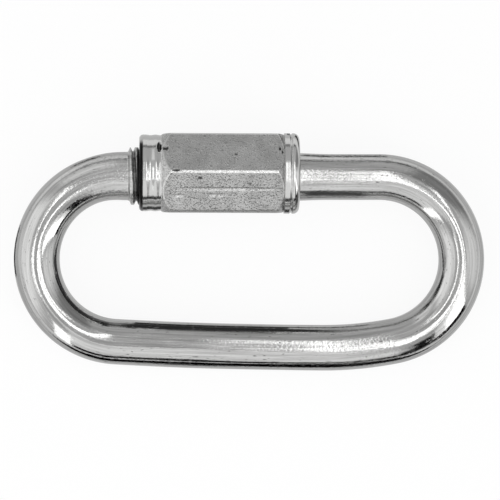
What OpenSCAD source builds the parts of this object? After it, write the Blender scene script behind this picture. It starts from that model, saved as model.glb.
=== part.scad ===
// Chain quick link: a round rod bent into an open loop, closed by a long hex sleeve nut.
// The link lies as it comes to rest: the nut's lowest ridge and the loop's back leg touch z = 0.
// +X runs along the loop and along the nut's axis, and +Y points from the back leg to the nut.

/* [Rod loop] */
// Diameter of the rod
rod_d = 4.75; // [4:0.05:6.5]
// Clear width inside the loop, between the two long legs
inside_width = 12.35; // [9:0.05:25]
// Angle through which the long left-hand part of the back leg curves outwards
long_sweep = 3; // [0.5:0.1:5]
// Angle through which the short right-hand part of the back leg curves back in
short_sweep = 11; // [6:0.1:30]

/* [Threaded ends] */
// Height of the rolled thread above the rod
thread_height = 0.575; // [0.3:0.025:0.8]
// Distance over which each thread runs out into the rod
thread_runout = 0.35; // [0.1:0.05:0.6]
// Extra rod diameter where the rod swells towards a thread
neck_swell = 0.25; // [0:0.05:0.4]
// Rod between the left-hand bend and the first full thread
neck_length = 1; // [0.7:0.1:3]
// Thread left showing beside the closed nut
exposed_thread = 0.9; // [0.5:0.1:3]
// Length of the short thread that the closed nut grips
short_grip = 2.7; // [1.5:0.1:6]
// Gap between the two threaded ends, which opens when the nut is run back
gate_gap = 4.8; // [4.5:0.1:12]
// Length of the long thread that carries the nut
long_thread = 7.5; // [4:0.1:12]
// Chamfer on the tip of each thread
tip_chamfer = 0.5; // [0.1:0.05:0.7]
// Rod left between the open nut and the right-hand bend
spare_run = 0.75; // [0.2:0.05:10]

/* [Sleeve nut] */
// Radial clearance between a thread and the nut's bore
thread_clearance = 0.05; // [0.02:0.01:0.1]
// Wall from the bore to a flat
nut_wall = 1; // [0.8:0.05:2]
// How far the bore is drilled off the hexagon's own centre, towards the back leg
bore_offset = 0.33; // [0:0.01:0.4]
// How far the closed nut reaches over the rod beyond the long thread
nut_overlap = 1.35; // [0.6:0.05:3]
// Radial easing of the hexagon's sharp ridges
ridge_ease = 0.08; // [0.02:0.01:0.2]
// How far the corner chamfers reach below the flats
chamfer_depth = 0.075; // [0.03:0.005:0.15]
// Wall of the turned collar at the end that opens
gate_collar_wall = 0.925; // [0.6:0.025:1.5]
// Length of that collar
gate_collar_length = 2.3; // [1:0.1:4]
// Length of the corner chamfer beside it
gate_chamfer = 0.85; // [0.3:0.05:1.5]
// Rounding of its outer edge
gate_round = 0.4; // [0.1:0.05:0.4]
// Wall of the turned collar at the other end
tail_collar_wall = 1.125; // [0.8:0.025:1.6]
// Length of that collar
tail_collar_length = 1.6; // [1.3:0.1:4]
// Length of the corner chamfer beside it
tail_chamfer = 0.6; // [0.3:0.05:1.5]
// Rounding of its outer edge
tail_round = 0.6; // [0.1:0.05:0.6]
// Distance from the end of the nut to the fine groove round that collar
groove_from_end = 0.85; // [0.75:0.05:1.1]
// Depth of that groove
groove_depth = 0.12; // [0.05:0.01:0.15]
// Chamfer at both mouths of the bore
mouth_chamfer = 0.15; // [0.05:0.05:0.3]
// Least width of the flat rim left at each mouth
rim_land = 0.02; // [0.01:0.01:0.1]

/* [Hidden] */
$fn = 96;

// Rod and threads
rod_r = rod_d / 2;
neck_r = rod_r + neck_swell / 2;
thread_r = rod_r + thread_height;

// Nut
bore_r = thread_r + thread_clearance;
flat_r = bore_r + nut_wall;
corner_r = flat_r / cos(30);
ridge_r = corner_r - ridge_ease;
gate_collar_r = bore_r + gate_collar_wall;
tail_collar_r = bore_r + tail_collar_wall;
chamfer_r = flat_r - chamfer_depth;
mouth_r = bore_r + mouth_chamfer;
nut_travel = short_grip + gate_gap;
nut_length = nut_travel + long_thread + nut_overlap;
hex_end = nut_length - tail_collar_length;
// How far the collars and the hexagon run into each other, and cutters past what they cut
lap = 0.25;

// Legs, each from its bend to its tip
short_leg = neck_length + exposed_thread + short_grip;
slide_run = nut_travel + spare_run;
long_leg = slide_run + nut_overlap + long_thread;
straight = short_leg + gate_gap + long_leg;

// Loop, drawn flat about its own centre
bend_r = (inside_width + rod_d) / 2;
bend_x = straight / 2;
bow_ratio = (1 - cos(long_sweep)) / (1 - cos(short_sweep));
long_arm = straight / (sin(long_sweep) + bow_ratio * sin(short_sweep));
short_arm = bow_ratio * long_arm;
crest_x = long_arm * sin(long_sweep) - bend_x;
// Angle by which each bend runs on into its neighbours, so that the rod is one piece
weld = 1e-10;

// Lying pose: the back leg's height is one rod radius, the nut's is one ridge radius
back_reach = bend_r + long_arm * (1 - cos(long_sweep));
tilt = asin((ridge_r - rod_r) / (bend_r + back_reach));
nut_y = bend_r * cos(tilt);
loop_z = ridge_r - bend_r * sin(tilt);
widest_r = max(flat_r, tail_collar_r, gate_collar_r);
centre_y = (back_reach * cos(tilt) + rod_r - nut_y - bore_offset - widest_r) / 2;
nut_x = -bend_x + neck_length + exposed_thread;

// Lays the flat loop down so that it rests on its back leg and on the nut
module lie_down() {
    translate([0, centre_y, loop_z]) rotate([tilt, 0, 0]) children();
}

// Moves by a coarse step and then by a fine one, so that the bends meet without a gap
module shift(by) {
    coarse = [for (step = by) round(step * 100) / 100];
    translate(coarse) translate(by - coarse) children();
}

// Rod bent about a centre, from one direction to another
module rod_arc(centre, radius, from, to) {
    shift(centre) rotate_extrude(angle = to - from, start = from)
        shift([radius, 0]) circle(r = rod_r);
}

// Straight end of the rod: it swells from the bend, then carries a thread up to its tip
module threaded_leg(length, thread) {
    plain = length - thread;
    rotate_extrude() polygon([
        [0, 0],
        [rod_r, 0],
        [neck_r, plain - thread_runout],
        [thread_r, plain],
        [thread_r, length - tip_chamfer],
        [thread_r - tip_chamfer, length],
        [0, length]
    ]);
}

// The bent rod with both threaded ends, lying at rest
module link_body() {
    color("silver") lie_down() {
        translate([-bend_x, bend_r, 0]) rotate([0, 90, 0])
            threaded_leg(short_leg, short_grip + exposed_thread);
        rod_arc([-bend_x, 0], bend_r, 90 - weld, 270 - long_sweep + weld);
        rod_arc([crest_x, long_arm * cos(long_sweep)], bend_r + long_arm, 270 - long_sweep, 270);
        rod_arc([crest_x, short_arm * cos(short_sweep)], bend_r + short_arm, 270 - weld, 270 + short_sweep);
        rod_arc([bend_x, 0], bend_r, 270 + short_sweep - weld, 450 + weld);
        translate([bend_x, bend_r, 0]) rotate([0, -90, 0])
            threaded_leg(long_leg, long_thread);
    }
}

// Turned collar standing on z = 0, with its outer edge rounded at the far end
module collar(wall, length, edge_round) {
    radius = bore_r + wall;
    fillet = min(edge_round, wall - bore_offset - mouth_chamfer - rim_land);
    rotate_extrude() {
        square([radius - fillet, length]);
        square([radius, length - fillet]);
        translate([radius - fillet, length - fillet]) circle(r = fillet);
    }
}

// Turned form that eases the hexagon's ridges and chamfers its corners down to each collar
module ridge_envelope() {
    corner = ridge_r - chamfer_r;
    gate_slope = corner / gate_chamfer;
    tail_slope = corner / tail_chamfer;
    rotate_extrude() polygon([
        [0, gate_collar_length - lap],
        [chamfer_r - lap * gate_slope, gate_collar_length - lap],
        [ridge_r, gate_collar_length + gate_chamfer],
        [ridge_r, hex_end - tail_chamfer],
        [chamfer_r - lap * tail_slope, hex_end + lap],
        [0, hex_end + lap]
    ]);
}

// Hexagon between the collars, with one ridge up and one down
module hexagon() {
    intersection() {
        cylinder(r = corner_r, h = nut_length, $fn = 6);
        ridge_envelope();
    }
}

// Bore for the threads, with a chamfered mouth at each end
module thread_bore() {
    rotate_extrude() polygon([
        [0, -lap],
        [mouth_r + lap, -lap],
        [bore_r, mouth_chamfer],
        [bore_r, nut_length - mouth_chamfer],
        [mouth_r + lap, nut_length + lap],
        [0, nut_length + lap]
    ]);
}

// Fine half-round groove that sets off the bead at the end of the nut
module bead_groove() {
    translate([0, 0, nut_length - groove_from_end])
        rotate_extrude() translate([tail_collar_r, 0]) circle(r = groove_depth);
}

// Outside of the nut: the hexagon between its two turned collars
module nut_outside() {
    difference() {
        union() {
            translate([0, 0, gate_collar_length + lap]) mirror([0, 0, 1])
                collar(gate_collar_wall, gate_collar_length + lap, gate_round);
            hexagon();
            translate([0, 0, hex_end]) collar(tail_collar_wall, tail_collar_length, tail_round);
        }
        bead_groove();
    }
}

// The long hex nut, closed over the gap between the two threaded ends
module sleeve_nut() {
    color("gainsboro") translate([nut_x, centre_y + nut_y, ridge_r]) rotate([0, 90, 0])
        difference() {
            translate([0, bore_offset, 0]) nut_outside();
            thread_bore();
        }
}

link_body();
sleeve_nut();
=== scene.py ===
"""Chain quick link: a rod of drawn stainless steel bent into a loop, closed by a long hexagonal nut.

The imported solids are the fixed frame. Each of the two pieces is dressed as a finer mesh that keeps its
solid's form and place and adds what the solid leaves out: the rolled threads, the drawing lines, the
turned rings and the nicks. Sizes are in millimetres until they become vertices.
"""

import logging
import math
from collections.abc import Callable
from dataclasses import dataclass, field, replace
from enum import Enum
from functools import partial
from typing import Any

import bpy
import numpy as np
from mathutils import Matrix, Vector


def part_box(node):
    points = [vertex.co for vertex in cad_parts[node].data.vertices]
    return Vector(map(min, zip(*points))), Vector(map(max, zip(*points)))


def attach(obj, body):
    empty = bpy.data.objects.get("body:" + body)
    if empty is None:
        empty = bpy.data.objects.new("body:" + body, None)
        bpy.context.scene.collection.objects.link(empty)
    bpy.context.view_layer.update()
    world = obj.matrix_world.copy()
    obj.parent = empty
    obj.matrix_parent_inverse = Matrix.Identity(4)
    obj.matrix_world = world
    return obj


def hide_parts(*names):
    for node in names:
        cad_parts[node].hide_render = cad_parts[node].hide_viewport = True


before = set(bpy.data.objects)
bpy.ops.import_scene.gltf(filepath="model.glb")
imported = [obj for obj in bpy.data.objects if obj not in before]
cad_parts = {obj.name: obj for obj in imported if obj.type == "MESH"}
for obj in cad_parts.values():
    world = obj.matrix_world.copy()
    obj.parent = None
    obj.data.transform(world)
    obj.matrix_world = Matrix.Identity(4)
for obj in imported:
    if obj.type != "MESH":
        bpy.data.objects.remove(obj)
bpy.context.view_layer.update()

MM = 0.001
IMAGE_PIXELS = 500
LOG = logging.getLogger("quick_link")


class Body(Enum):
    """Bodies of the frame that the pieces ride on."""

    LINK = "link"
    NUT = "nut"


class Solid(Enum):
    """Solids of the frame that the pieces stand for."""

    LINK_BODY = "link_body"
    SLEEVE_NUT = "sleeve_nut"


class Slot(Enum):
    """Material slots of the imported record."""

    ROD = "rod_steel"
    NUT = "nut_steel"


def linear(hex_colour: str) -> tuple[float, float, float, float]:
    """Turns an sRGB hex colour into linear light.

    Args:
        hex_colour: Six hex digits, such as "C8C8C6".

    Returns:
        Linear red, green, blue and an alpha of one.
    """
    shares = [int(hex_colour[i : i + 2], 16) / 255 for i in (0, 2, 4)]
    light = [s / 12.92 if s <= 0.04045 else ((s + 0.055) / 1.055) ** 2.4 for s in shares]
    return light[0], light[1], light[2], 1.0


NodeAdder = Callable[..., bpy.types.Node]


def add_node(
    tree: bpy.types.NodeTree,
    kind: str,
    settings: dict[str | int, Any] | None = None,
    links: dict[str | int, bpy.types.Node | bpy.types.NodeSocket] | None = None,
) -> bpy.types.Node:
    """Adds one node, sets its sockets or its own properties, and links its inputs.

    Args:
        tree: Node tree that gets the node.
        kind: Blender's name of the node type, without the leading "ShaderNode".
        settings: Values by input name, input number or property name.
        links: Output sockets, or nodes for their first output, by the input that they feed.

    Returns:
        The new node.
    """
    node = tree.nodes.new("ShaderNode" + kind)
    for key, value in (settings or {}).items():
        if isinstance(key, str) and key not in node.inputs:
            setattr(node, key, value)
    for key, value in (settings or {}).items():
        if isinstance(key, int) or key in node.inputs:
            node.inputs[key].default_value = value
    for key, source in (links or {}).items():
        socket = source.outputs[0] if isinstance(source, bpy.types.Node) else source
        tree.links.new(socket, node.inputs[key])
    return node


def new_material(name: str) -> tuple[bpy.types.Material, NodeAdder]:
    """Makes an empty node material.

    Args:
        name: Name of the material.

    Returns:
        The material, and add_node for its own tree.
    """
    made = bpy.data.materials.new(name)
    made.use_nodes = True
    made.node_tree.nodes.clear()
    return made, partial(add_node, made.node_tree)


def span(low: float, high: float, start: float = 0.0, end: float = 1.0) -> dict[str, float]:
    """Settings of a Map Range node that takes low to start and high to end."""
    return {"From Min": low, "From Max": high, "To Min": start, "To Max": end}


def mesh_object(
    name: str,
    points: np.ndarray,
    faces: list[tuple[int, ...]],
    material: bpy.types.Material,
    kept: dict[str, np.ndarray] | None = None,
) -> bpy.types.Object:
    """Makes a smooth-shaded mesh object in the shared frame.

    Args:
        name: Name of the object.
        points: Vertices in millimetres, one row each.
        faces: Vertex numbers of each face.
        material: Finish of the whole object.
        kept: Numbers or vectors that the vertices keep, by the name that the material reads.

    Returns:
        The object, linked to the scene.
    """
    mesh = bpy.data.meshes.new(name)
    mesh.from_pydata((points * MM).tolist(), [], faces)
    mesh.polygons.foreach_set("use_smooth", [True] * len(mesh.polygons))
    for mark, values in (kept or {}).items():
        kind, part = ("FLOAT_VECTOR", "vector") if values.ndim == 2 else ("FLOAT", "value")
        attribute = mesh.attributes.new(mark, kind, "POINT")
        attribute.data.foreach_set(part, values.astype(np.float32).ravel())
    mesh.materials.append(material)
    mesh.update()
    made = bpy.data.objects.new(name, mesh)
    bpy.context.scene.collection.objects.link(made)
    return made


def ring_faces(rings: int, around: int) -> list[tuple[int, ...]]:
    """Joins a stack of rings of vertices with quads.

    Args:
        rings: Number of rings.
        around: Vertices in each ring.

    Returns:
        Quads that run round each pair of neighbouring rings.
    """
    row = np.arange(rings - 1)[:, None] * around
    here = np.arange(around)[None, :]
    after = (here + 1) % around
    quads = np.stack([row + here, row + after, row + around + after, row + around + here], axis=-1)
    return [tuple(q) for q in quads.reshape(-1, 4).tolist()]


def smoothstep(low: float, high: float, value: np.ndarray) -> np.ndarray:
    """Rises smoothly from 0 at low to 1 at high."""
    share = np.clip((value - low) / (high - low), 0, 1)
    return share * share * (3 - 2 * share)


def soft_min(a: np.ndarray, b: np.ndarray, ease: float) -> np.ndarray:
    """Smaller of two heights, with the edge between them eased over a width."""
    share = np.clip(0.5 + 0.5 * (b - a) / ease, 0, 1)
    return b + (a - b) * share - ease * share * (1 - share)


@dataclass(frozen=True)
class Steel:
    """What both steels share: a tone between dull and bright metal, and dark grime and painted shade on
    it.
    """

    name: str
    bright: str
    dull: str
    grime: str
    pit_grime: float

    def marks(
        self,
        add: NodeAdder,
        place: bpy.types.NodeSocket,
        size: tuple[float, float],
        settings: dict[str | int, Any],
    ) -> bpy.types.Node:
        """Adds the noise of marks, such as lines or rings, with a size along the piece and across it."""
        stretched = add("Mapping", {"Scale": (1 / size[0], 1 / size[1], 1 / size[1])}, {"Vector": place})
        return add("TexNoise", {"Scale": 1.0, **settings}, {"Vector": stretched})

    def tone(self, add: NodeAdder, share: bpy.types.Node) -> bpy.types.NodeSocket:
        """Adds the clean metal's colour, which is dull at a share of 0 and bright at 1."""
        ends = {"data_type": "RGBA", 6: linear(self.dull), 7: linear(self.bright)}
        return add("Mix", ends, {0: share}).outputs[2]

    def soiled_and_shaded(
        self,
        add: NodeAdder,
        metal: bpy.types.NodeSocket,
        pits: bpy.types.Node,
        roughness: bpy.types.Node,
        relief: bpy.types.Node,
    ) -> None:
        """Adds the steel itself, with grime in its pits, and grime and painted shade where the mesh
        keeps some.

        Args:
            add: Adds a node to the material.
            metal: Colour of the clean metal.
            pits: Depth of the pits, from 0 to 1.
            roughness: Roughness of the surface.
            relief: Normal of the surface.
        """
        # Grime, and painted shade, that the mesh keeps at its vertices
        dirt_and_shade = add("Attribute", {"attribute_name": "grime"}).outputs["Fac"]
        held = add("Math", {"operation": "MULTIPLY", 1: self.pit_grime}, {0: pits})
        soil_and_shade = add("Math", {"operation": "MAXIMUM"}, {0: held, 1: dirt_and_shade})
        grimy_and_shaded = {"data_type": "RGBA", 7: linear(self.grime)}
        colour = add("Mix", grimy_and_shaded, {0: soil_and_shade, 6: metal}).outputs[2]
        links = {"Base Color": colour, "Roughness": roughness, "Normal": relief}
        steel = add("BsdfPrincipled", {"Metallic": 1.0}, links)
        add("OutputMaterial", {}, {"Surface": steel})


@dataclass(frozen=True)
class DrawnStainless(Steel):
    """Stainless rod, drawn through a die and tumbled bright.

    The die leaves long fine lines, so reflections break into streaks along the rod. Tumbling leaves a
    bright skin with a few small pits. The thread roots are darkened with grime and painted shade, and
    the rod is painted black with shade where it enters the nut.
    """

    name: str = "stainless_steel_drawn_and_tumbled"
    bright: str = "EAEAE9"
    dull: str = "70706F"
    # Dark colour of grime and of painted shade
    grime: str = "1E1E1E"
    pit_grime: float = 0.5
    scuffed_roughness: float = 0.36
    # Roughness at the two ends of a part of the streaks' noise
    roughness: tuple[float, float] = (0.045, 0.16)
    streak_range: tuple[float, float] = (0.3, 0.7)
    # Length and width. Real die lines are a few hundredths wide; these are coarser so that they show.
    streak: tuple[float, float] = (8.0, 0.3)
    streak_depth: float = 0.0045
    # Grain of the tumbling stones: its strength on bright metal, and the scuffing that shows all of it
    grain: float = 0.24
    grain_depth: float = 0.03
    grain_least: float = 0.14
    grain_full: float = 0.4
    # Length and width of sparse pits, which lie where their noise is highest
    pit: tuple[float, float] = (0.5, 0.14)
    pit_depth: float = 0.008
    pit_range: tuple[float, float] = (0.69, 0.76)

    def material(self) -> bpy.types.Material:
        """Builds the node material.

        Returns:
            The material.
        """
        made, add = new_material(self.name)
        place = add("Attribute", {"attribute_name": "along_rod"}).outputs["Vector"]
        scuffed = add("Attribute", {"attribute_name": "scuffed"}).outputs["Fac"]
        streaks = self.marks(add, place, self.streak, {"Detail": 5.0, "Roughness": 0.65})
        pits = self.marks(add, place, self.pit, {"Detail": 1.0})
        sunk = add("MapRange", span(*self.pit_range), {"Value": pits})
        polish = add("MapRange", span(*self.streak_range, *self.roughness), {"Value": streaks})
        scuffing = {"data_type": "FLOAT", 3: self.scuffed_roughness}
        roughness = add("Mix", scuffing, {0: scuffed, 2: polish})
        lines = add("Bump", {"Strength": 1.0, "Distance": self.streak_depth * MM}, {"Height": streaks})
        grains = add("TexNoise", {"Scale": 1 / self.grain, "Detail": 2.0}, {"Vector": place})
        rubbed = add("MapRange", span(0.0, self.grain_full, self.grain_least), {"Value": scuffed})
        frosted = add(
            "Bump",
            {"Distance": self.grain_depth * MM},
            {"Strength": rubbed, "Height": grains, "Normal": lines},
        )
        relief = add(
            "Bump",
            {"Strength": 1.0, "Distance": self.pit_depth * MM, "invert": True},
            {"Height": sunk, "Normal": frosted},
        )
        self.soiled_and_shaded(add, self.tone(add, streaks), sunk, roughness, relief)
        return made


@dataclass(frozen=True)
class BrightHexBar(Steel):
    """Bright-drawn stainless hexagon bar with turned ends.

    The flats keep the satin skin of the bar, with fine pits and faint drawing lines, so they reflect as
    one soft tone. The collars carry the fine rings of the lathe tool, which spread a highlight along
    the nut.
    """

    name: str = "stainless_steel_hexagon_bar_turned"
    bright: str = "DCDCDB"
    dull: str = "7E7E7D"
    # Dark colour of grime, and of the painted shade on the open end's rim and in the bore
    grime: str = "161616"
    pit_grime: float = 0.46
    # Painted highlight: bright bare metal on the worn chamfer edges, the upper ridge and the scratches'
    # burrs
    bare_highlight: str = "E6E6E5"
    bare_highlight_roughness: float = 0.36
    flat_roughness: float = 0.34
    turned_roughness: float = 0.16
    # Where the freshly turned collars lie between the dull and the bright tone
    turned_shade: float = 0.72
    # Length and width of the drawing lines
    line: tuple[float, float] = (5.0, 0.16)
    # Sizes along and round the nut. Tool rings are about 0.05 mm apart; they are twice that to show.
    ring: tuple[float, float] = (0.1, 12.5)
    relief_depth: float = 0.004
    # Pits, and the parts of their noise over which the flats sink and the painted edge highlight shows
    pit: float = 0.17
    pit_depth: float = 0.045
    pit_strength: float = 0.9
    pit_range: tuple[float, float] = (0.5, 0.7)
    shine_range: tuple[float, float] = (0.36, 0.5)
    blotch: float = 2.2

    def material(self) -> bpy.types.Material:
        """Builds the node material.

        Returns:
            The material.
        """
        made, add = new_material(self.name)
        place = add("Attribute", {"attribute_name": "on_nut"}).outputs["Vector"]
        drawn = add("Attribute", {"attribute_name": "drawn"}).outputs["Fac"]
        # The rubbed edges: wear, with a painted highlight of bright bare metal
        rubbed = add("Attribute", {"attribute_name": "rubbed"}).outputs["Fac"]
        lines = self.marks(add, place, self.line, {"Detail": 4.0})
        rings = self.marks(add, place, self.ring, {"Detail": 3.0})
        pits = add("TexNoise", {"Scale": 1 / self.pit, "Detail": 2.0}, {"Vector": place})
        mottled = {"Scale": 1 / self.blotch, "Detail": 8.0, "Roughness": 0.72}
        blotches = add("TexNoise", mottled, {"Vector": place})
        sunk = add("MapRange", span(*self.pit_range), {"Value": pits, "To Max": drawn})
        worn_and_highlit = add("MapRange", span(*self.shine_range), {"Value": pits, "To Max": rubbed})
        fresh = add("MapRange", span(0.0, 1.0, self.turned_shade, 0.0), {"Value": drawn})
        shade = add("Math", {"operation": "MAXIMUM"}, {0: blotches, 1: fresh})
        shine = {"data_type": "RGBA", 7: linear(self.bare_highlight)}
        highlighted = add("Mix", shine, {0: worn_and_highlit, 6: self.tone(add, shade)}).outputs[2]
        skin = span(0.0, 1.0, self.turned_roughness, self.flat_roughness)
        polish = add("MapRange", skin, {"Value": drawn})
        rubbing = {"data_type": "FLOAT", 3: self.bare_highlight_roughness}
        roughness = add("Mix", rubbing, {0: worn_and_highlit, 2: polish})
        tooled = add("Mix", {"data_type": "FLOAT"}, {0: drawn, 2: rings, 3: lines})
        grooves = add("Bump", {"Strength": 1.0, "Distance": self.relief_depth * MM}, {"Height": tooled})
        relief = add(
            "Bump",
            {"Strength": self.pit_strength, "Distance": self.pit_depth * MM, "invert": True},
            {"Height": sunk, "Normal": grooves},
        )
        self.soiled_and_shaded(add, highlighted, sunk, roughness, relief)
        return made


@dataclass(frozen=True)
class WhiteSheet:
    """Matt white paper sheet under the link, which shows white and keeps a soft shadow."""

    name: str = "matt_white_paper"
    white: str = "FAFAFA"
    glow_share: float = 0.9

    def material(self) -> bpy.types.Material:
        """Builds the node material.

        Returns:
            The material.
        """
        made, add = new_material(self.name)
        path = add("LightPath").outputs
        either = {"operation": "MAXIMUM"}
        seen = add("Math", either, {0: path["Is Camera Ray"], 1: path["Is Glossy Ray"]})
        shown = add("Math", either, {0: seen, 1: path["Is Transmission Ray"]})
        share = add("Math", {"operation": "MULTIPLY", 1: self.glow_share}, {0: shown})
        paper = add("BsdfDiffuse", {"Color": linear(self.white)})
        glow = add("Emission", {"Color": (1, 1, 1, 1), "Strength": 1.0})
        sheet = add("MixShader", {}, {0: share, 1: paper, 2: glow})
        add("OutputMaterial", {}, {"Surface": sheet})
        return made


@dataclass(frozen=True)
class Card:
    """Studio card: a lit diffuser, a grey panel or a flag.

    A flag shows in the metal and nowhere else. A card that is soft fades out towards its first two
    sides, its second two sides or all four, over a share of its size.
    """

    name: str
    strength: float
    flag: bool = field(default=False, kw_only=True)
    soft: tuple[float, float] = field(default=(0.0, 0.0), kw_only=True)
    steps: int = field(default=20, kw_only=True)

    def material(self) -> bpy.types.Material:
        """Builds the node material, which shows on the card's front and lets light through behind.

        Returns:
            The material.
        """
        made, add = new_material(self.name)
        glow = add("Emission", {"Color": (1, 1, 1, 1), "Strength": self.strength})
        clear = add("BsdfTransparent")
        cover = add("Attribute", {"attribute_name": "cover"}).outputs["Fac"]
        behind = add("NewGeometry").outputs["Backfacing"]
        sheet = add("MixShader", {}, {0: cover, 1: clear, 2: glow})
        seen = add("MixShader", {}, {0: behind, 1: sheet, 2: clear})
        add("OutputMaterial", {}, {"Surface": seen})
        return made

    def fade(self, soft: float) -> np.ndarray:
        """Gives how well the card covers from side to side, if it fades out over a share of its size."""
        edge = 0.5 - np.abs(np.linspace(-0.5, 0.5, self.steps + 1))
        return smoothstep(0.0, soft, edge) if soft else np.ones_like(edge)

    def spread(self, across: tuple[float, float], along: tuple[float, float]) -> list[np.ndarray]:
        """Gives the grid of values between the first two sides and between the second two."""
        return np.meshgrid(*(np.linspace(*sides, self.steps + 1) for sides in (across, along)))

    def hang(self, grid: np.ndarray) -> bpy.types.Object:
        """Hangs the card where the lens doesn't see it.

        Args:
            grid: Rows of points of the card.

        Returns:
            The card, which the camera doesn't see.
        """
        rows, columns = grid.shape[:2]
        corners = [i * columns + j for i in range(rows - 1) for j in range(columns - 1)]
        faces = [(c, c + 1, c + 1 + columns, c + columns) for c in corners]
        cover = self.fade(self.soft[1])[:, None] * self.fade(self.soft[0])[None, :]
        kept = {"cover": cover.ravel()}
        made = mesh_object(self.name, grid.reshape(-1, 3), faces, self.material(), kept)
        made.visible_camera = False
        made.visible_diffuse = not self.flag
        made.visible_shadow = not self.flag
        return made


@dataclass(frozen=True)
class DomeCard(Card):
    """Card on a dome about the link, facing it.

    Azimuth is in degrees from +X towards +Y, and polar angle is in degrees from straight up.
    """

    azimuth: tuple[float, float]
    polar: tuple[float, float]
    distance: float = field(default=388.0, kw_only=True)

    def build(self) -> bpy.types.Object:
        """Builds the card.

        Returns:
            The card.
        """
        turn, fall = np.radians(self.spread(self.azimuth, self.polar))
        ray = [np.sin(fall) * np.cos(turn), np.sin(fall) * np.sin(turn), np.cos(fall)]
        return self.hang(self.distance * np.stack(ray, axis=-1))


@dataclass(frozen=True)
class FlatCard(Card):
    """Level card at some height, whose sides may slant towards +X as they run towards +Y.

    It faces the link: down from above, and up from the sheet.
    """

    x: tuple[float, float]
    y: tuple[float, float]
    height: float
    slant: float = field(default=0.0, kw_only=True)

    def build(self) -> bpy.types.Object:
        """Builds the card.

        Returns:
            The card.
        """
        lowest_lamp = 1.0
        side = self.x if self.height < lowest_lamp else self.x[::-1]
        across, along = self.spread(side, self.y)
        level = np.full(across.shape, self.height)
        return self.hang(np.stack([across + self.slant * along, along, level], axis=-1))


@dataclass(frozen=True)
class UprightCard(Card):
    """Card that stands along X and faces -Y, or +Y where its sides are given from right to left."""

    x: tuple[float, float]
    z: tuple[float, float]
    y: float

    def build(self) -> bpy.types.Object:
        """Builds the card."""
        across, up = self.spread(self.x, self.z)
        return self.hang(np.stack([across, np.full(across.shape, self.y), up], axis=-1))


@dataclass(frozen=True)
class FineThread:
    """Rolled right-hand thread, M6 with a fine pitch, about the axis of the nut's bore."""

    pitch: float = 0.75
    crest_r: float = 2.95
    root_r: float = 2.56
    # Where a crest passes the top of the rod
    crest_x: float = -11.45
    crest_flat: float = 0.4
    root_flat: float = 0.12

    def height(self, x: np.ndarray, turn: np.ndarray) -> np.ndarray:
        """Gives the thread's height at places on the rod.

        Args:
            x: Places along the axis.
            turn: Angle about the axis in turns, from +Y through +Z.

        Returns:
            Heights from 0 in the root to 1 on the crest.
        """
        top = 0.25
        phase = (x - self.crest_x) / self.pitch - (turn - top)
        saw = np.abs(2 * (phase - np.floor(phase)) - 1)
        ramp = np.clip((saw - self.root_flat) / (1 - self.root_flat - self.crest_flat), 0, 1)
        return (ramp + smoothstep(0.0, 1.0, ramp)) / 2

    def rod_radius(self, x: np.ndarray, turn: np.ndarray) -> np.ndarray:
        """Radius of the full thread on the rod."""
        return self.root_r + (self.crest_r - self.root_r) * self.height(x, turn)


@dataclass(frozen=True)
class RodSkin:
    """Unevenness of the rod: fine waves left by the die, and broad lumps left by the bending tool."""

    seed: int = 7
    waves: tuple[int, int] = (4, 26)
    wave_depth: float = 0.0015
    # Share of a wave's depth that doesn't come and go, and how fast the rest does
    wave_steady: float = 0.6
    wave_swells: tuple[float, float] = (0.05, 0.4)
    # Most that a wave turns round the rod, in radians a millimetre
    wave_drift: float = 0.0125
    lumps: int = 7
    lump_lengths: tuple[float, float] = (12.0, 30.0)
    lump_depth: float = 0.006

    def offset(self, along: np.ndarray, angle: np.ndarray) -> np.ndarray:
        """Gives the unevenness at places on the rod.

        Args:
            along: Distances along the rod.
            angle: Angles about the rod, in radians.

        Returns:
            Radial offsets, all of them inwards.
        """
        draw = np.random.default_rng(self.seed)
        total = np.zeros(np.broadcast(along, angle).shape)
        slow, fast = self.wave_swells
        least, most = (0, -self.wave_drift, slow), (2 * math.pi, self.wave_drift, fast)
        for wave in range(*self.waves):
            start, drift, swell = draw.uniform(least, most)
            pulse = self.wave_steady + (1 - self.wave_steady) * np.sin(swell * along + start)
            total = total + self.wave_depth * pulse * np.cos(wave * (angle + drift * along) + start)
        for lump in range(self.lumps):
            start, turn = draw.uniform(0, 2 * math.pi, 2)
            length = draw.uniform(*self.lump_lengths)
            around = np.cos((1 + lump % 3) * angle + turn)
            total = total + self.lump_depth * around * np.cos(2 * math.pi * along / length + start)
        return total - total.max()


@dataclass(frozen=True)
class Scuff:
    """Stretch of the rod that is rubbed dull, as a distance from the short tip and a reach."""

    at: float
    reach: float
    amount: float

    def share(self, along: np.ndarray) -> np.ndarray:
        """Gives how dull the rod is at distances along it, fading out to both sides."""
        return self.amount * np.exp(-(((along - self.at) / self.reach) ** 2))


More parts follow.
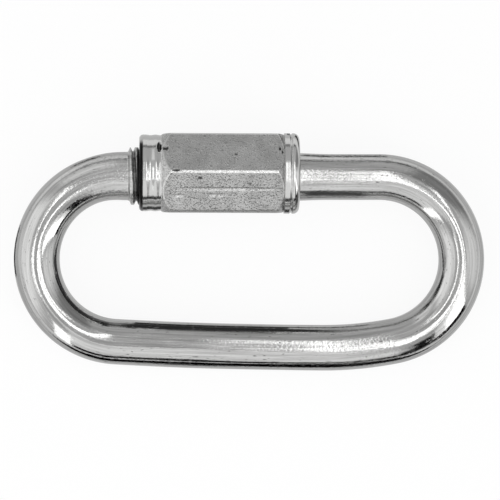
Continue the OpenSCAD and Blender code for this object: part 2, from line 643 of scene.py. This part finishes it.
@dataclass
class BentRod:
    """The rod loop with its two threaded ends."""

    thread: FineThread
    finish: DrawnStainless
    skin: RodSkin = field(default_factory=RodSkin)
    scuffs: tuple[Scuff, ...] = (Scuff(56.0, 4.0, 0.2), Scuff(89.0, 6.0, 0.3), Scuff(5.0, 4.0, 0.4))
    rod_r: float = 2.375
    neck_r: float = 2.5
    bend_r: float = 8.55
    long_sweep: float = 3.0
    short_sweep: float = 11.0
    short_leg: float = 4.6
    long_leg: float = 17.1
    short_threaded: float = 3.6
    long_threaded: float = 7.5
    runout: float = 0.3
    tip_chamfer: float = 0.5
    # Length over which the rod swells up to a thread
    swell_reach: float = 4.5
    # Darkening of the thread roots, dirt and painted shade, and the height of the thread at which it
    # ends
    root_dirt_and_shade: float = 0.6
    root_dirt_and_shade_end: float = 0.7
    # Painted shade: black on the rod at the nut's rim, where the rod goes into the nut.
    # From outside the nut to inside: where it starts, is full, fades and ends
    rim_painted_shade: tuple[float, float, float, float] = (-0.34, -0.22, 0.0, 0.3)
    plain_step: float = 0.25
    thread_step: float = 0.05
    around: int = 128

    def __post_init__(self) -> None:
        """Places the loop from the frame."""
        low, high = (np.array(corner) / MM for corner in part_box(Solid.LINK_BODY.value))
        nut_low, nut_high = (np.array(corner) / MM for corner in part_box(Solid.SLEEVE_NUT.value))
        sweep, turn = math.radians(self.long_sweep), math.radians(self.short_sweep)
        ratio = (1 - math.cos(sweep)) / (1 - math.cos(turn))
        self.bend_x = (high[0] - low[0]) / 2 - self.bend_r - self.rod_r
        self.short_tip = self.short_leg - self.bend_x
        self.long_tip = self.bend_x - self.long_leg
        self.long_arm = 2 * self.bend_x / (math.sin(sweep) + ratio * math.sin(turn))
        self.short_arm = ratio * self.long_arm
        self.crest_x = self.long_arm * math.sin(sweep) - self.bend_x
        reach = self.bend_r + self.long_arm * (1 - math.cos(sweep))
        nut_z = (nut_low[2] + nut_high[2]) / 2
        self.nut_edge = nut_low[0]
        self.tilt = math.asin((nut_z - self.rod_r) / (self.bend_r + reach))
        self.centre_y = low[1] + self.rod_r + reach * math.cos(self.tilt)
        self.loop_z = nut_z - self.bend_r * math.sin(self.tilt)

    def arc(
        self, centre: tuple[float, float], radius: float, start: float, end: float
    ) -> tuple[np.ndarray, np.ndarray]:
        """Samples a bent stretch of the centre line.

        Args:
            centre: Centre of the bend, in the loop's plane.
            radius: Radius of the bend.
            start: Direction of its first point, in degrees.
            end: Direction of its last point, in degrees.

        Returns:
            Points and unit tangents.
        """
        length = radius * math.radians(end - start)
        turn = np.radians(np.linspace(start, end, 1 + round(length / self.plain_step)))
        ray = np.stack([np.cos(turn), np.sin(turn)], axis=1)
        return np.array(centre) + radius * ray, np.stack([-ray[:, 1], ray[:, 0]], axis=1)

    def leg(self, start_x: float, end_x: float, step: float) -> tuple[np.ndarray, np.ndarray]:
        """Samples a straight stretch that runs towards -X above the loop's centre, as arc does."""
        x = np.linspace(start_x, end_x, 1 + round((start_x - end_x) / step))
        return np.stack([x, np.full_like(x, self.bend_r)], axis=1), np.tile([-1.0, 0.0], (len(x), 1))

    def centre_line(self) -> tuple[np.ndarray, np.ndarray]:
        """Samples the whole centre line, from the short tip round the loop to the long tip.

        Returns:
            Points and unit tangents in the loop's plane.
        """
        side = self.bend_x
        long_y = self.long_arm * math.cos(math.radians(self.long_sweep))
        short_y = self.short_arm * math.cos(math.radians(self.short_sweep))
        crest, first, last = 270, 270 - self.long_sweep, 270 + self.short_sweep
        thread_start = self.long_tip + self.long_threaded + 2 * self.runout
        stretches = [
            self.leg(self.short_tip, -side, self.thread_step),
            self.arc((-side, 0), self.bend_r, 90, first),
            self.arc((self.crest_x, long_y), self.bend_r + self.long_arm, first, crest),
            self.arc((self.crest_x, short_y), self.bend_r + self.short_arm, crest, last),
            self.arc((side, 0), self.bend_r, last, 450),
            self.leg(side, thread_start, self.plain_step),
            self.leg(thread_start, self.long_tip, self.thread_step),
        ]
        points = [stretches[0][0]] + [p[1:] for p, _ in stretches[1:]]
        tangents = [stretches[0][1]] + [t[1:] for _, t in stretches[1:]]
        return np.concatenate(points), np.concatenate(tangents)

    def threaded(
        self, along: np.ndarray, plain: np.ndarray, full: np.ndarray
    ) -> tuple[np.ndarray, np.ndarray]:
        """Radius of the rod, which swells gently towards each thread and is chamfered at its tips.

        Args:
            along: Distances from the short tip, as a column.
            plain: Radii of the rod without swelling and threads.
            full: Radii of the full thread.

        Returns:
            Radii, and how much of the full thread stands at each place.
        """
        to_tip = np.minimum(along, along.max() - along)
        length = np.where(along < along.max() / 2, self.short_threaded, self.long_threaded)
        swell = 1 - smoothstep(0.0, self.swell_reach, to_tip - length)
        share = 1 - smoothstep(0.0, self.runout, to_tip - length)
        necked = plain + (self.neck_r - self.rod_r) * swell
        tip = self.thread.crest_r - np.clip(self.tip_chamfer - to_tip, 0, None)
        return np.minimum(necked + share * (full - necked), tip), share

    def build(self) -> bpy.types.Object:
        """Sweeps the rod's skin along its centre line.

        Returns:
            The dressed piece, riding on the link.
        """
        points, tangents = self.centre_line()
        steps = np.linalg.norm(np.diff(points, axis=0), axis=1)
        along = np.append(0, np.cumsum(steps))[:, None]
        angle = (2 * math.pi * np.arange(self.around) / self.around)[None, :]
        outward = np.stack([tangents[:, 1], -tangents[:, 0]], axis=1)
        x, y = points[:, :1], points[:, 1:]
        plain = self.rod_r + self.skin.offset(along, angle)
        turn = (angle + self.tilt) / (2 * math.pi)
        radius, share = self.threaded(along, plain, self.thread.rod_radius(x, turn))
        aside, up = radius * np.cos(angle), radius * np.sin(angle)
        tube = self.laid_down(x + aside * outward[:, :1], y + aside * outward[:, 1:], up)
        ends = self.laid_down(points[[0, -1], 0], points[[0, -1], 1], np.zeros(2))
        vertices = np.concatenate([tube.reshape(-1, 3), ends])
        rings = len(points)
        faces = ring_faces(rings, self.around) + self.tip_faces(rings)
        spread = (along, self.rod_r * np.cos(angle), self.rod_r * np.sin(angle))
        local = np.stack(np.broadcast_arrays(*spread), axis=-1)
        tips = [[along[0, 0], 0, 0], [along[-1, 0], 0, 0]]
        past = x - self.nut_edge
        start, full, fade, end = self.rim_painted_shade
        # Painted shade: the rod is darkened black beside the nut's open end
        painted_shade_at_nut = smoothstep(start, full, past) * (1 - smoothstep(fade, end, past))
        # Dirt and painted shade in the thread roots, joined with the painted shade at the nut's rim
        in_root = 1 - smoothstep(0.0, self.root_dirt_and_shade_end, self.thread.height(x, turn))
        grime = share * np.maximum(self.root_dirt_and_shade * in_root, painted_shade_at_nut)
        dull = sum(scuff.share(along) for scuff in self.scuffs) + 0 * radius
        kept = {
            "along_rod": np.concatenate([local.reshape(-1, 3), tips]),
            "grime": np.append(grime, (0, 0)),
            "scuffed": np.append(dull, (0, 0)),
        }
        made = mesh_object("bent_rod", vertices, faces, self.finish.material(), kept)
        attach(made, Body.LINK.value)
        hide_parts(Solid.LINK_BODY.value)
        return made

    def tip_faces(self, rings: int) -> list[tuple[int, ...]]:
        """Closes both tips of the rod with fans of triangles.

        Args:
            rings: Number of rings in the skin, whose vertices come before the two tip centres.

        Returns:
            Triangles.
        """
        centre, last = rings * self.around, (rings - 1) * self.around
        sides = [(i, (i + 1) % self.around) for i in range(self.around)]
        short_tip = [(centre, b, a) for a, b in sides]
        return short_tip + [(centre + 1, last + a, last + b) for a, b in sides]

    def laid_down(self, x: np.ndarray, y: np.ndarray, z: np.ndarray) -> np.ndarray:
        """Lays points of the flat loop down on the floor, from heights above its plane."""
        cos, sin = math.cos(self.tilt), math.sin(self.tilt)
        return np.stack([x, self.centre_y + y * cos - z * sin, self.loop_z + y * sin + z * cos], axis=-1)


@dataclass(frozen=True)
class Nick:
    """Dent in the nut: its middle, its half sizes along and round the nut, and its depth.

    The middle is a distance from the open end and an angle in degrees from +Y towards +Z.
    """

    x: float
    angle: float
    half_length: float
    half_width: float
    depth: float

    def sink(self, x: np.ndarray, angle: np.ndarray, radius: float) -> np.ndarray:
        """Gives how deep the dent is at places on the nut.

        Args:
            x: Distances from the open end.
            angle: Directions, in radians.
            radius: Radius that turns angles into widths.

        Returns:
            Depths.
        """
        aside = (angle - math.radians(self.angle) + np.pi) % (2 * np.pi) - np.pi
        off = ((x - self.x) / self.half_length) ** 2 + (aside * radius / self.half_width) ** 2
        return self.depth * np.sqrt(np.clip(1 - off, 0, 1))


NUT_NICKS = (
    # The large nick on the shoulder of the open end
    Nick(2.0, 49, 0.22, 0.72, 0.28),
    Nick(2.65, 53, 0.36, 0.16, 0.2),
    # Small nicks on the two upper flats, on the ridge between them and on the closed end
    Nick(3.75, 88.5, 0.45, 0.12, 0.1),
    Nick(9.84, 62, 0.2, 0.12, 0.12),
    Nick(14.3, 53, 0.14, 0.15, 0.16),
    Nick(14.53, 58.5, 0.12, 0.15, 0.16),
    Nick(8.53, 57, 0.12, 0.12, 0.06),
    Nick(6.9, 62.4, 0.12, 0.12, 0.06),
    Nick(6.18, 99, 0.3, 0.12, 0.08),
    Nick(11.26, 108, 0.2, 0.12, 0.08),
    Nick(10.8, 134, 0.14, 0.12, 0.06),
    Nick(13.5, 128, 0.22, 0.12, 0.06),
    Nick(15.25, 14, 0.2, 0.4, 0.16),
    # Scratches along the lower flat
    Nick(9.1, 115, 5.6, 0.13, 0.068),
    Nick(4.0, 126, 0.65, 0.14, 0.068),
    Nick(7.8, 125, 0.85, 0.14, 0.068),
)


@dataclass
class SleeveNut:
    """The long hexagonal nut with a turned collar at each end."""

    thread: FineThread
    finish: BrightHexBar
    flat_r: float = 4.0
    chamfer_r: float = 3.925
    gate_collar_r: float = 3.925
    gate_collar_length: float = 2.3
    gate_chamfer: float = 0.85
    gate_round: float = 0.4
    tail_collar_r: float = 4.125
    tail_collar_length: float = 1.6
    tail_chamfer: float = 0.6
    tail_round: float = 0.6
    groove_from_end: float = 0.85
    groove_depth: float = 0.12
    bore_offset: float = 0.33
    bore_r: float = 3.0
    minor_r: float = 2.6
    thread_play: float = 0.06
    mouth_chamfer: float = 0.15
    edge_ease: float = 0.05
    # How much of the bar's dull skin the corner chamfers keep
    chamfer_skin: float = 0.6
    # Length of the small step up to the tail collar
    shoulder: float = 0.08
    # Broad waves that the tool left in the collar at the open end
    tool_wave: float = 1.0
    tool_wave_start: float = 0.65
    tool_wave_depth: float = 0.06
    nicks: tuple[Nick, ...] = NUT_NICKS
    # Nicks deeper than this are darker, from a first depth on
    darkened_depth: float = 0.07
    darkened_from: float = 0.02
    nick_darkening: float = 0.9
    # Painted shade, black, on the open end's rounding: the part of the rounding where it ends, and the
    # side, by cosine, where it is gone
    rim_painted_shade: tuple[float, float] = (0.8, 1.0)
    unshaded_side: tuple[float, float] = (0.72, 0.88)
    # Painted shade in the bore, on the crests of its thread and in its roots
    bore_painted_shade: tuple[float, float] = (0.4, 0.9)
    # Half widths of the worn edges with their painted highlight: across a chamfer's edge, and round the
    # upper ridge in radians
    highlit_arc: float = 0.07
    highlit_ridge: tuple[float, float] = (0.024, 0.036)
    # How bright the painted highlight on the chamfer is beside the large nick
    shielded_highlight: float = 0.3
    # Directions in each sixth of the nut: the share of them that is even, and how the others bunch up
    sector_steps: int = 36
    even_share: float = 0.35
    bunching: float = 2.2
    # Nicks longer than this get extra directions, since the spacing round a flat would miss them
    long_scratch: float = 0.5
    narrow: float = 0.14
    # Degrees from the middle of such a scratch to the painted highlight of a burr along its lower side
    burr_highlight_turn: float = 3.0
    bore_step: float = 0.115

    def __post_init__(self) -> None:
        """Places the nut from the frame."""
        low, high = (np.array(corner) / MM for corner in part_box(Solid.SLEEVE_NUT.value))
        self.start_x = low[0]
        self.length = high[0] - low[0]
        self.axis_y = (low[1] + high[1]) / 2
        self.axis_z = (low[2] + high[2]) / 2
        self.ridge_r = self.axis_z - low[2]
        self.hex_end = self.length - self.tail_collar_length

    def angles(self) -> np.ndarray:
        """Directions round the nut, closer together at the six ridges.

        Returns:
            Angles from +Y through +Z, in radians.
        """
        share = np.linspace(-1, 1, self.sector_steps, endpoint=False)
        bunched = np.sign(share) * (1 - (1 - np.abs(share)) ** self.bunching)
        sector = np.pi / 6 * (self.even_share * share + (1 - self.even_share) * bunched)
        regular = np.concatenate([sector + k * np.pi / 3 for k in range(6)])
        fine = {nick.angle for nick in self.nicks if nick.half_length > self.long_scratch}
        # From one side of a scratch to just past its burr's painted highlight
        aside = self.narrow / self.flat_r * np.linspace(-1, 2.5, 8)
        extra = [math.radians(angle) + aside for angle in sorted(fine)]
        return np.unique(np.round(np.concatenate([regular, *extra]) % (2 * np.pi), 6))

    def stations(self) -> np.ndarray:
        """Places along the nut's outside, closer together where its profile turns.

        Returns:
            Distances from the nut's open end.
        """
        margin = 0.1
        rounding = self.gate_round * (1 - np.cos(np.linspace(0, np.pi / 2, 12)))
        tail = self.length - self.tail_round * (1 - np.cos(np.linspace(np.pi / 2, 0, 14)))
        # Ends of the stretches between the two roundings, each with its number of steps
        marks = (
            (self.gate_round, 0),
            (self.gate_collar_length, 31),
            (self.gate_collar_length + self.gate_chamfer + margin, 15),
            (self.hex_end - self.tail_chamfer - margin, 144),
            (self.hex_end, 13),
            (self.hex_end + margin, 7),
            (self.length - self.tail_round, 19),
        )
        runs = [np.linspace(a, b, steps + 1)[1:] for (a, _), (b, steps) in zip(marks, marks[1:])]
        return np.concatenate([rounding, *runs, tail[1:]])

    def collar(self, from_end: np.ndarray, radius: float, edge_round: float) -> np.ndarray:
        """Radius of a turned collar with a rounded outer edge, by the distance from its end face."""
        inset = np.clip(edge_round - from_end, 0, edge_round)
        return radius - edge_round + np.sqrt(edge_round**2 - inset**2)

    def bar(self, x: np.ndarray, angle: np.ndarray) -> tuple[np.ndarray, np.ndarray]:
        """Radii of the hexagon and of the cones that chamfer its corners.

        Args:
            x: Distances from the open end, as a column.
            angle: Directions, as a row.

        Returns:
            Radii of the hexagon, and radii of the cones.
        """
        within = (angle + np.pi / 6) % (np.pi / 3) - np.pi / 6
        corner = self.ridge_r - self.chamfer_r
        gate_cone = self.chamfer_r + corner * (x - self.gate_collar_length) / self.gate_chamfer
        tail_cone = self.chamfer_r + corner * (self.hex_end - x) / self.tail_chamfer
        return self.flat_r / np.cos(within), np.minimum(gate_cone, tail_cone)

    def outside(self, x: np.ndarray, angle: np.ndarray) -> tuple[np.ndarray, np.ndarray]:
        """Radius of the nut's outside about its own centre.

        Args:
            x: Distances from the open end, as a column.
            angle: Directions, as a row.

        Returns:
            Radii, and how far each place is drawn rather than turned.
        """
        hexagon, cone = self.bar(x, angle)
        envelope = np.minimum(cone, self.ridge_r)
        bar = soft_min(hexagon, envelope + 0 * angle, self.edge_ease)
        drawn = smoothstep(-self.edge_ease, self.edge_ease, envelope - hexagon)
        gate = self.collar(x, self.gate_collar_r, self.gate_round)
        wave = 0.5 - 0.5 * np.cos(2 * np.pi * (x - self.tool_wave_start) / self.tool_wave)
        gate = gate - self.tool_wave_depth * wave * smoothstep(self.gate_round, self.tool_wave_start, x)
        tail = self.collar(self.length - x, self.tail_collar_r, self.tail_round)
        groove = np.clip(1 - ((self.length - self.groove_from_end - x) / self.groove_depth) ** 2, 0, 1)
        tail = tail - self.groove_depth * np.sqrt(groove)
        step = smoothstep(self.hex_end, self.hex_end + self.shoulder, x)
        radius = np.where(x < self.gate_collar_length, gate + 0 * angle, bar)
        radius = np.where(x > self.hex_end, self.chamfer_r + (tail - self.chamfer_r) * step, radius)
        for nick in self.nicks:
            radius = radius - nick.sink(x, angle, self.flat_r)
        on_collar = (x < self.gate_collar_length) | (x > self.hex_end)
        skin = np.where(cone < self.ridge_r, np.maximum(drawn, self.chamfer_skin), drawn)
        return radius, np.where(on_collar, 0.0, skin)

    def worn_and_highlit_edges(self, x: np.ndarray, angle: np.ndarray) -> np.ndarray:
        """Gives how far the upper ridge, the chamfers' edges and the burrs are worn and painted with a
        highlight.

        Args:
            x: Distances from the open end, as a column.
            angle: Directions, as a row.

        Returns:
            Shares from 0 to 1.
        """
        hexagon, cone = self.bar(x, angle)
        arc = 1 - smoothstep(0.0, self.highlit_arc, np.abs(cone - hexagon))
        off_ridge = np.abs(angle - np.pi / 2)
        ridge = (1 - smoothstep(*self.highlit_ridge, off_ridge)) * (cone > self.ridge_r)
        on_bar = (x > self.gate_collar_length) & (x < self.hex_end)
        shielded = (angle < np.pi / 2) & (x < self.length / 2)
        edges = np.maximum(np.where(shielded, self.shielded_highlight, 1.0) * arc, ridge)
        for nick in self.nicks:
            if nick.half_length > self.long_scratch:
                burr_highlight = replace(nick, angle=nick.angle + self.burr_highlight_turn, depth=1.0)
                edges = np.maximum(edges, burr_highlight.sink(x, angle, self.flat_r))
        return np.where(on_bar, edges, 0.0)

    def outer_shade_and_dark_nicks(self, x: np.ndarray, angle: np.ndarray) -> np.ndarray:
        """Gives the painted shade on the rounded rim of the open end, and the darkening in the deeper
        nicks.

        Args:
            x: Distances from the open end, as a column.
            angle: Directions, as a row.

        Returns:
            Shares from 0 to 1.
        """
        # Painted shade: the open end's rounded rim is black, except on its side towards +Y
        unshaded = smoothstep(*self.unshaded_side, np.cos(angle))
        rim = (1 - smoothstep(*self.rim_painted_shade, x / self.gate_round)) * (1 - unshaded)
        deep = [nick for nick in self.nicks if nick.depth > self.darkened_depth]
        sunk = sum(nick.sink(x, angle, self.flat_r) for nick in deep)
        return np.maximum(rim, self.nick_darkening * smoothstep(self.darkened_from, self.darkened_depth, sunk))

    def bore(self, x: np.ndarray, turn: np.ndarray) -> tuple[np.ndarray, np.ndarray]:
        """Radius of the threaded bore about its own axis.

        Args:
            x: Distances from the open end, as a column.
            turn: Directions in turns, as a row.

        Returns:
            Radii, and the painted shade that darkens the bore there.
        """
        wanted = self.thread.rod_radius(x + self.start_x, turn) + self.thread_play
        cut = np.maximum(wanted, self.minor_r)
        from_end = np.minimum(x, self.length - x)
        mouth = self.bore_r + self.mouth_chamfer - from_end
        depth = (cut - self.minor_r) / (self.bore_r - self.minor_r)
        # Painted shade: the bore is darkened, most in its thread's roots
        on_crest, in_root = self.bore_painted_shade
        return np.maximum(cut, mouth), on_crest + (in_root - on_crest) * np.clip(depth, 0, 1)

    def build(self) -> bpy.types.Object:
        """Builds the nut's skin: the outside, and the threaded bore joined to it at both ends.

        Returns:
            The dressed piece, riding on the nut.
        """
        angle = self.angles()[None, :]
        x = self.stations()[:, None]
        radius, drawn = self.outside(x, angle)
        outer = self.placed(x, radius, angle, self.axis_y)
        inner_x = np.linspace(self.length, 0, 1 + round(self.length / self.bore_step))[:, None]
        inner_r, inner_painted_shade = self.bore(inner_x, angle / (2 * np.pi))
        inner = self.placed(inner_x, inner_r, angle, self.axis_y - self.bore_offset)
        around = angle.shape[1]
        rings = len(x) + len(inner_x)
        vertices = np.concatenate([outer.reshape(-1, 3), inner.reshape(-1, 3)])
        last = (rings - 1) * around
        ends = [(last + i, last + (i + 1) % around, (i + 1) % around, i) for i in range(around)]
        faces = [face[::-1] for face in ring_faces(rings, around) + ends]
        in_bore = np.zeros(inner_r.size)
        kept = {
            "on_nut": vertices - (self.start_x, self.axis_y, self.axis_z),
            "drawn": np.append(drawn, in_bore),
            # Wear with a painted highlight, on the upper ridge, the chamfers' edges and the burrs
            "rubbed": np.append(self.worn_and_highlit_edges(x, angle), in_bore),
            "grime": np.append(self.outer_shade_and_dark_nicks(x, angle), inner_painted_shade),
        }
        made = mesh_object("hex_sleeve_nut", vertices, faces, self.finish.material(), kept)
        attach(made, Body.NUT.value)
        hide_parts(Solid.SLEEVE_NUT.value)
        return made

    def placed(self, x: np.ndarray, radius: np.ndarray, angle: np.ndarray, axis_y: float) -> np.ndarray:
        """Puts points of the nut, with radii about an axis, into the shared frame."""
        cos, sin = radius * np.cos(angle), radius * np.sin(angle)
        return np.stack(np.broadcast_arrays(self.start_x + x, axis_y + cos, self.axis_z + sin), axis=-1)


STUDIO_CARDS = (
    # Bright rim of the tent's open top, which draws twin lines along the bends, and the lens in it
    FlatCard("left_rim", 3.2, (-610, -500), (-600, 420), 1500),
    FlatCard("right_rim", 3.2, (495, 600), (-600, 450), 1500, slant=0.45),
    FlatCard("front_rim", 1.5, (-500, 225), (-600, -520), 1500),
    FlatCard("lens_flag", 0.6, (-40, 110), (-440, -180), 1500, flag=True),
    # Narrow diffusers that light the straight rod beside the nut and the right half of the back leg
    FlatCard("top_strip", 2.8, (25, 42), (-150, 260), 388, soft=(0.2, 0.12)),
    FlatCard("top_right_strip", 4.5, (40, 60), (-320, 260), 388, soft=(0.2, 0.12)),
    # Lamps at the two front corners, with a pale panel between them
    DomeCard("front_left_lamp", 2.6, (-129, -119), (46, 92)),
    DomeCard("front_right_lamp", 2.6, (-47, -30), (25, 76)),
    DomeCard("front_right_panel", 1.3, (-54, -47), (25, 76)),
    DomeCard("front_panel", 1.1, (-118, -74), (24, 77)),
    # Pale walls of the tent at both ends, and grey panels behind the nut
    DomeCard("left_wall", 1.3, (142, 228), (26, 91), soft=(0.2, 0.2)),
    DomeCard("right_wall", 1.1, (-31, 16), (26, 91), soft=(0.3, 0.2)),
    DomeCard("back_panel", 0.57, (58, 126), (30, 80), soft=(0.15, 0.15)),
    DomeCard("back_corner_panel", 0.3, (14, 66), (26, 91), soft=(0.2, 0.15)),
    # Dark flags at the horizon
    DomeCard("back_flag", 0.2, (62, 122), (80, 91), flag=True),
    DomeCard("front_flag", 0.0, (-118, -74), (77, 91), flag=True),
    DomeCard("front_right_flag", 0.0, (-74, -67), (66, 91), flag=True),
    DomeCard("front_right_tall_flag", 0.0, (-68, -53), (48, 91), flag=True, soft=(0.15, 0.12)),
    DomeCard("front_right_low_flag", 0.0, (-54, -30), (76, 91), flag=True),
    # Cards on the sheet, seen only in the metal: painted shadow of the link on the sheet round it and
    # inside the loop, and a black flag in front that keeps the sheet's glare out of the rod's lower
    # sides
    FlatCard("sheet_shade", 0.68, (-40, 40), (-24, 24), 0.02, flag=True),
    FlatCard("front_sheet_flag", 0.0, (-30, 27), (-60, -18), 0.05, flag=True),
    FlatCard("inner_left_painted_shadow", 0.05, (-11.5, 4.5), (-3.6, 1.2), 0.3, flag=True),
    FlatCard("inner_right_painted_shadow", 0.05, (4.5, 12), (-3.6, -1.4), 0.3, flag=True),
    # Upright cards: painted shade inside the loop, one facing the back leg and one facing the rod beside
    # the nut, and a pale card behind
    UprightCard("loop_painted_shade", 0.04, (-15, 11), (0.1, 5.4), 1.2, flag=True, soft=(0.15, 0.1)),
    UprightCard("neck_painted_shade", 0.08, (12.5, 5.4), (3.5, 7.9), 1.2, flag=True, soft=(0.15, 0.15)),
    UprightCard("back_left_card", 1.0, (-60, -12), (8, 60), 45, flag=True, soft=(0.25, 0.2)),
    # Small black cards on the sheet beside the loop's outer edge: the link's painted contact shadow
    FlatCard("left_edge_painted_shadow", 0.0, (-27.7, -25.2), (-3, 3.5), 0.05, flag=True),
    FlatCard("back_left_painted_shadow", 0.0, (-22, -17), (14.4, 18), 0.05, flag=True),
    FlatCard("back_right_painted_shadow", 0.0, (6, 15), (15.2, 19), 0.05, flag=True),
)


@dataclass
class Studio:
    """White sheet in a pale tent, cards round the link, and the camera above it."""

    sheet: WhiteSheet
    cards: tuple[DomeCard | FlatCard | UprightCard, ...] = STUDIO_CARDS
    sheet_half: float = 380.0
    room: str = "D2D2D2"
    yaw: float = 2.02
    pitch: float = -1.04
    roll: float = -0.18
    distance: float = 388.0
    target_z: float = 3.5
    target_pixel: tuple[float, float] = (248.94, 251.58)
    pixels_per_mm: float = 9.7436
    sensor: float = 36.0
    clip: tuple[float, float] = (10.0, 10000.0)

    def camera(self) -> bpy.types.Object:
        """Sets the camera above the link, at the photograph's viewing angle.

        Returns:
            The camera.
        """
        turned = Matrix.Identity(3)
        for degrees, axis in ((self.roll, "Z"), (self.pitch, "X"), (self.yaw, "Y")):
            turned = turned @ Matrix.Rotation(math.radians(degrees), 3, axis)
        right, up, back = turned
        middle = (IMAGE_PIXELS - 1) / 2
        aside = (middle - self.target_pixel[0]) / self.pixels_per_mm
        above = (self.target_pixel[1] - middle) / self.pixels_per_mm
        place = Vector((0, 0, self.target_z)) + back * self.distance + right * aside + up * above
        data = bpy.data.cameras.new("camera")
        data.sensor_width = self.sensor
        data.lens = self.pixels_per_mm * self.distance * self.sensor / IMAGE_PIXELS
        data.clip_start, data.clip_end = (reach * MM for reach in self.clip)
        made = bpy.data.objects.new("camera", data)
        made.matrix_world = Matrix.Translation(place * MM) @ turned.transposed().to_4x4()
        bpy.context.scene.collection.objects.link(made)
        bpy.context.scene.camera = made
        return made

    def floor(self) -> bpy.types.Object:
        """Lays the white sheet under the link.

        Returns:
            The sheet.
        """
        half = self.sheet_half
        corners = np.array([[-half, -half, 0], [half, -half, 0], [half, half, 0], [-half, half, 0]])
        made = mesh_object("floor_sheet", corners, [(0, 1, 2, 3)], self.sheet.material())
        return made

    def world(self) -> None:
        """Sets the even grey of the tent."""
        made = bpy.data.worlds.new("studio_tent")
        made.use_nodes = True
        made.node_tree.nodes.clear()
        add = partial(add_node, made.node_tree)
        tent = add("Background", {"Color": linear(self.room), "Strength": 1.0})
        add("OutputWorld", {}, {"Surface": tent})
        bpy.context.scene.world = made

    def build(self) -> None:
        """Sets up the camera, the sheet, the cards and the tent."""
        self.camera()
        self.floor()
        for card in self.cards:
            card.build()
        self.world()
        bpy.context.scene.view_settings.view_transform = "Standard"


def main() -> None:
    """Builds the studio and the two pieces, and logs each piece."""
    logging.basicConfig(level=logging.INFO, format="%(name)s: %(message)s")
    thread = FineThread()
    Studio(WhiteSheet()).build()
    for assembly in (BentRod(thread, DrawnStainless()), SleeveNut(thread, BrightHexBar())):
        piece = assembly.build()
        LOG.info("%s: %d faces", piece.name, len(piece.data.polygons))


if __name__ == "__main__":
    main()
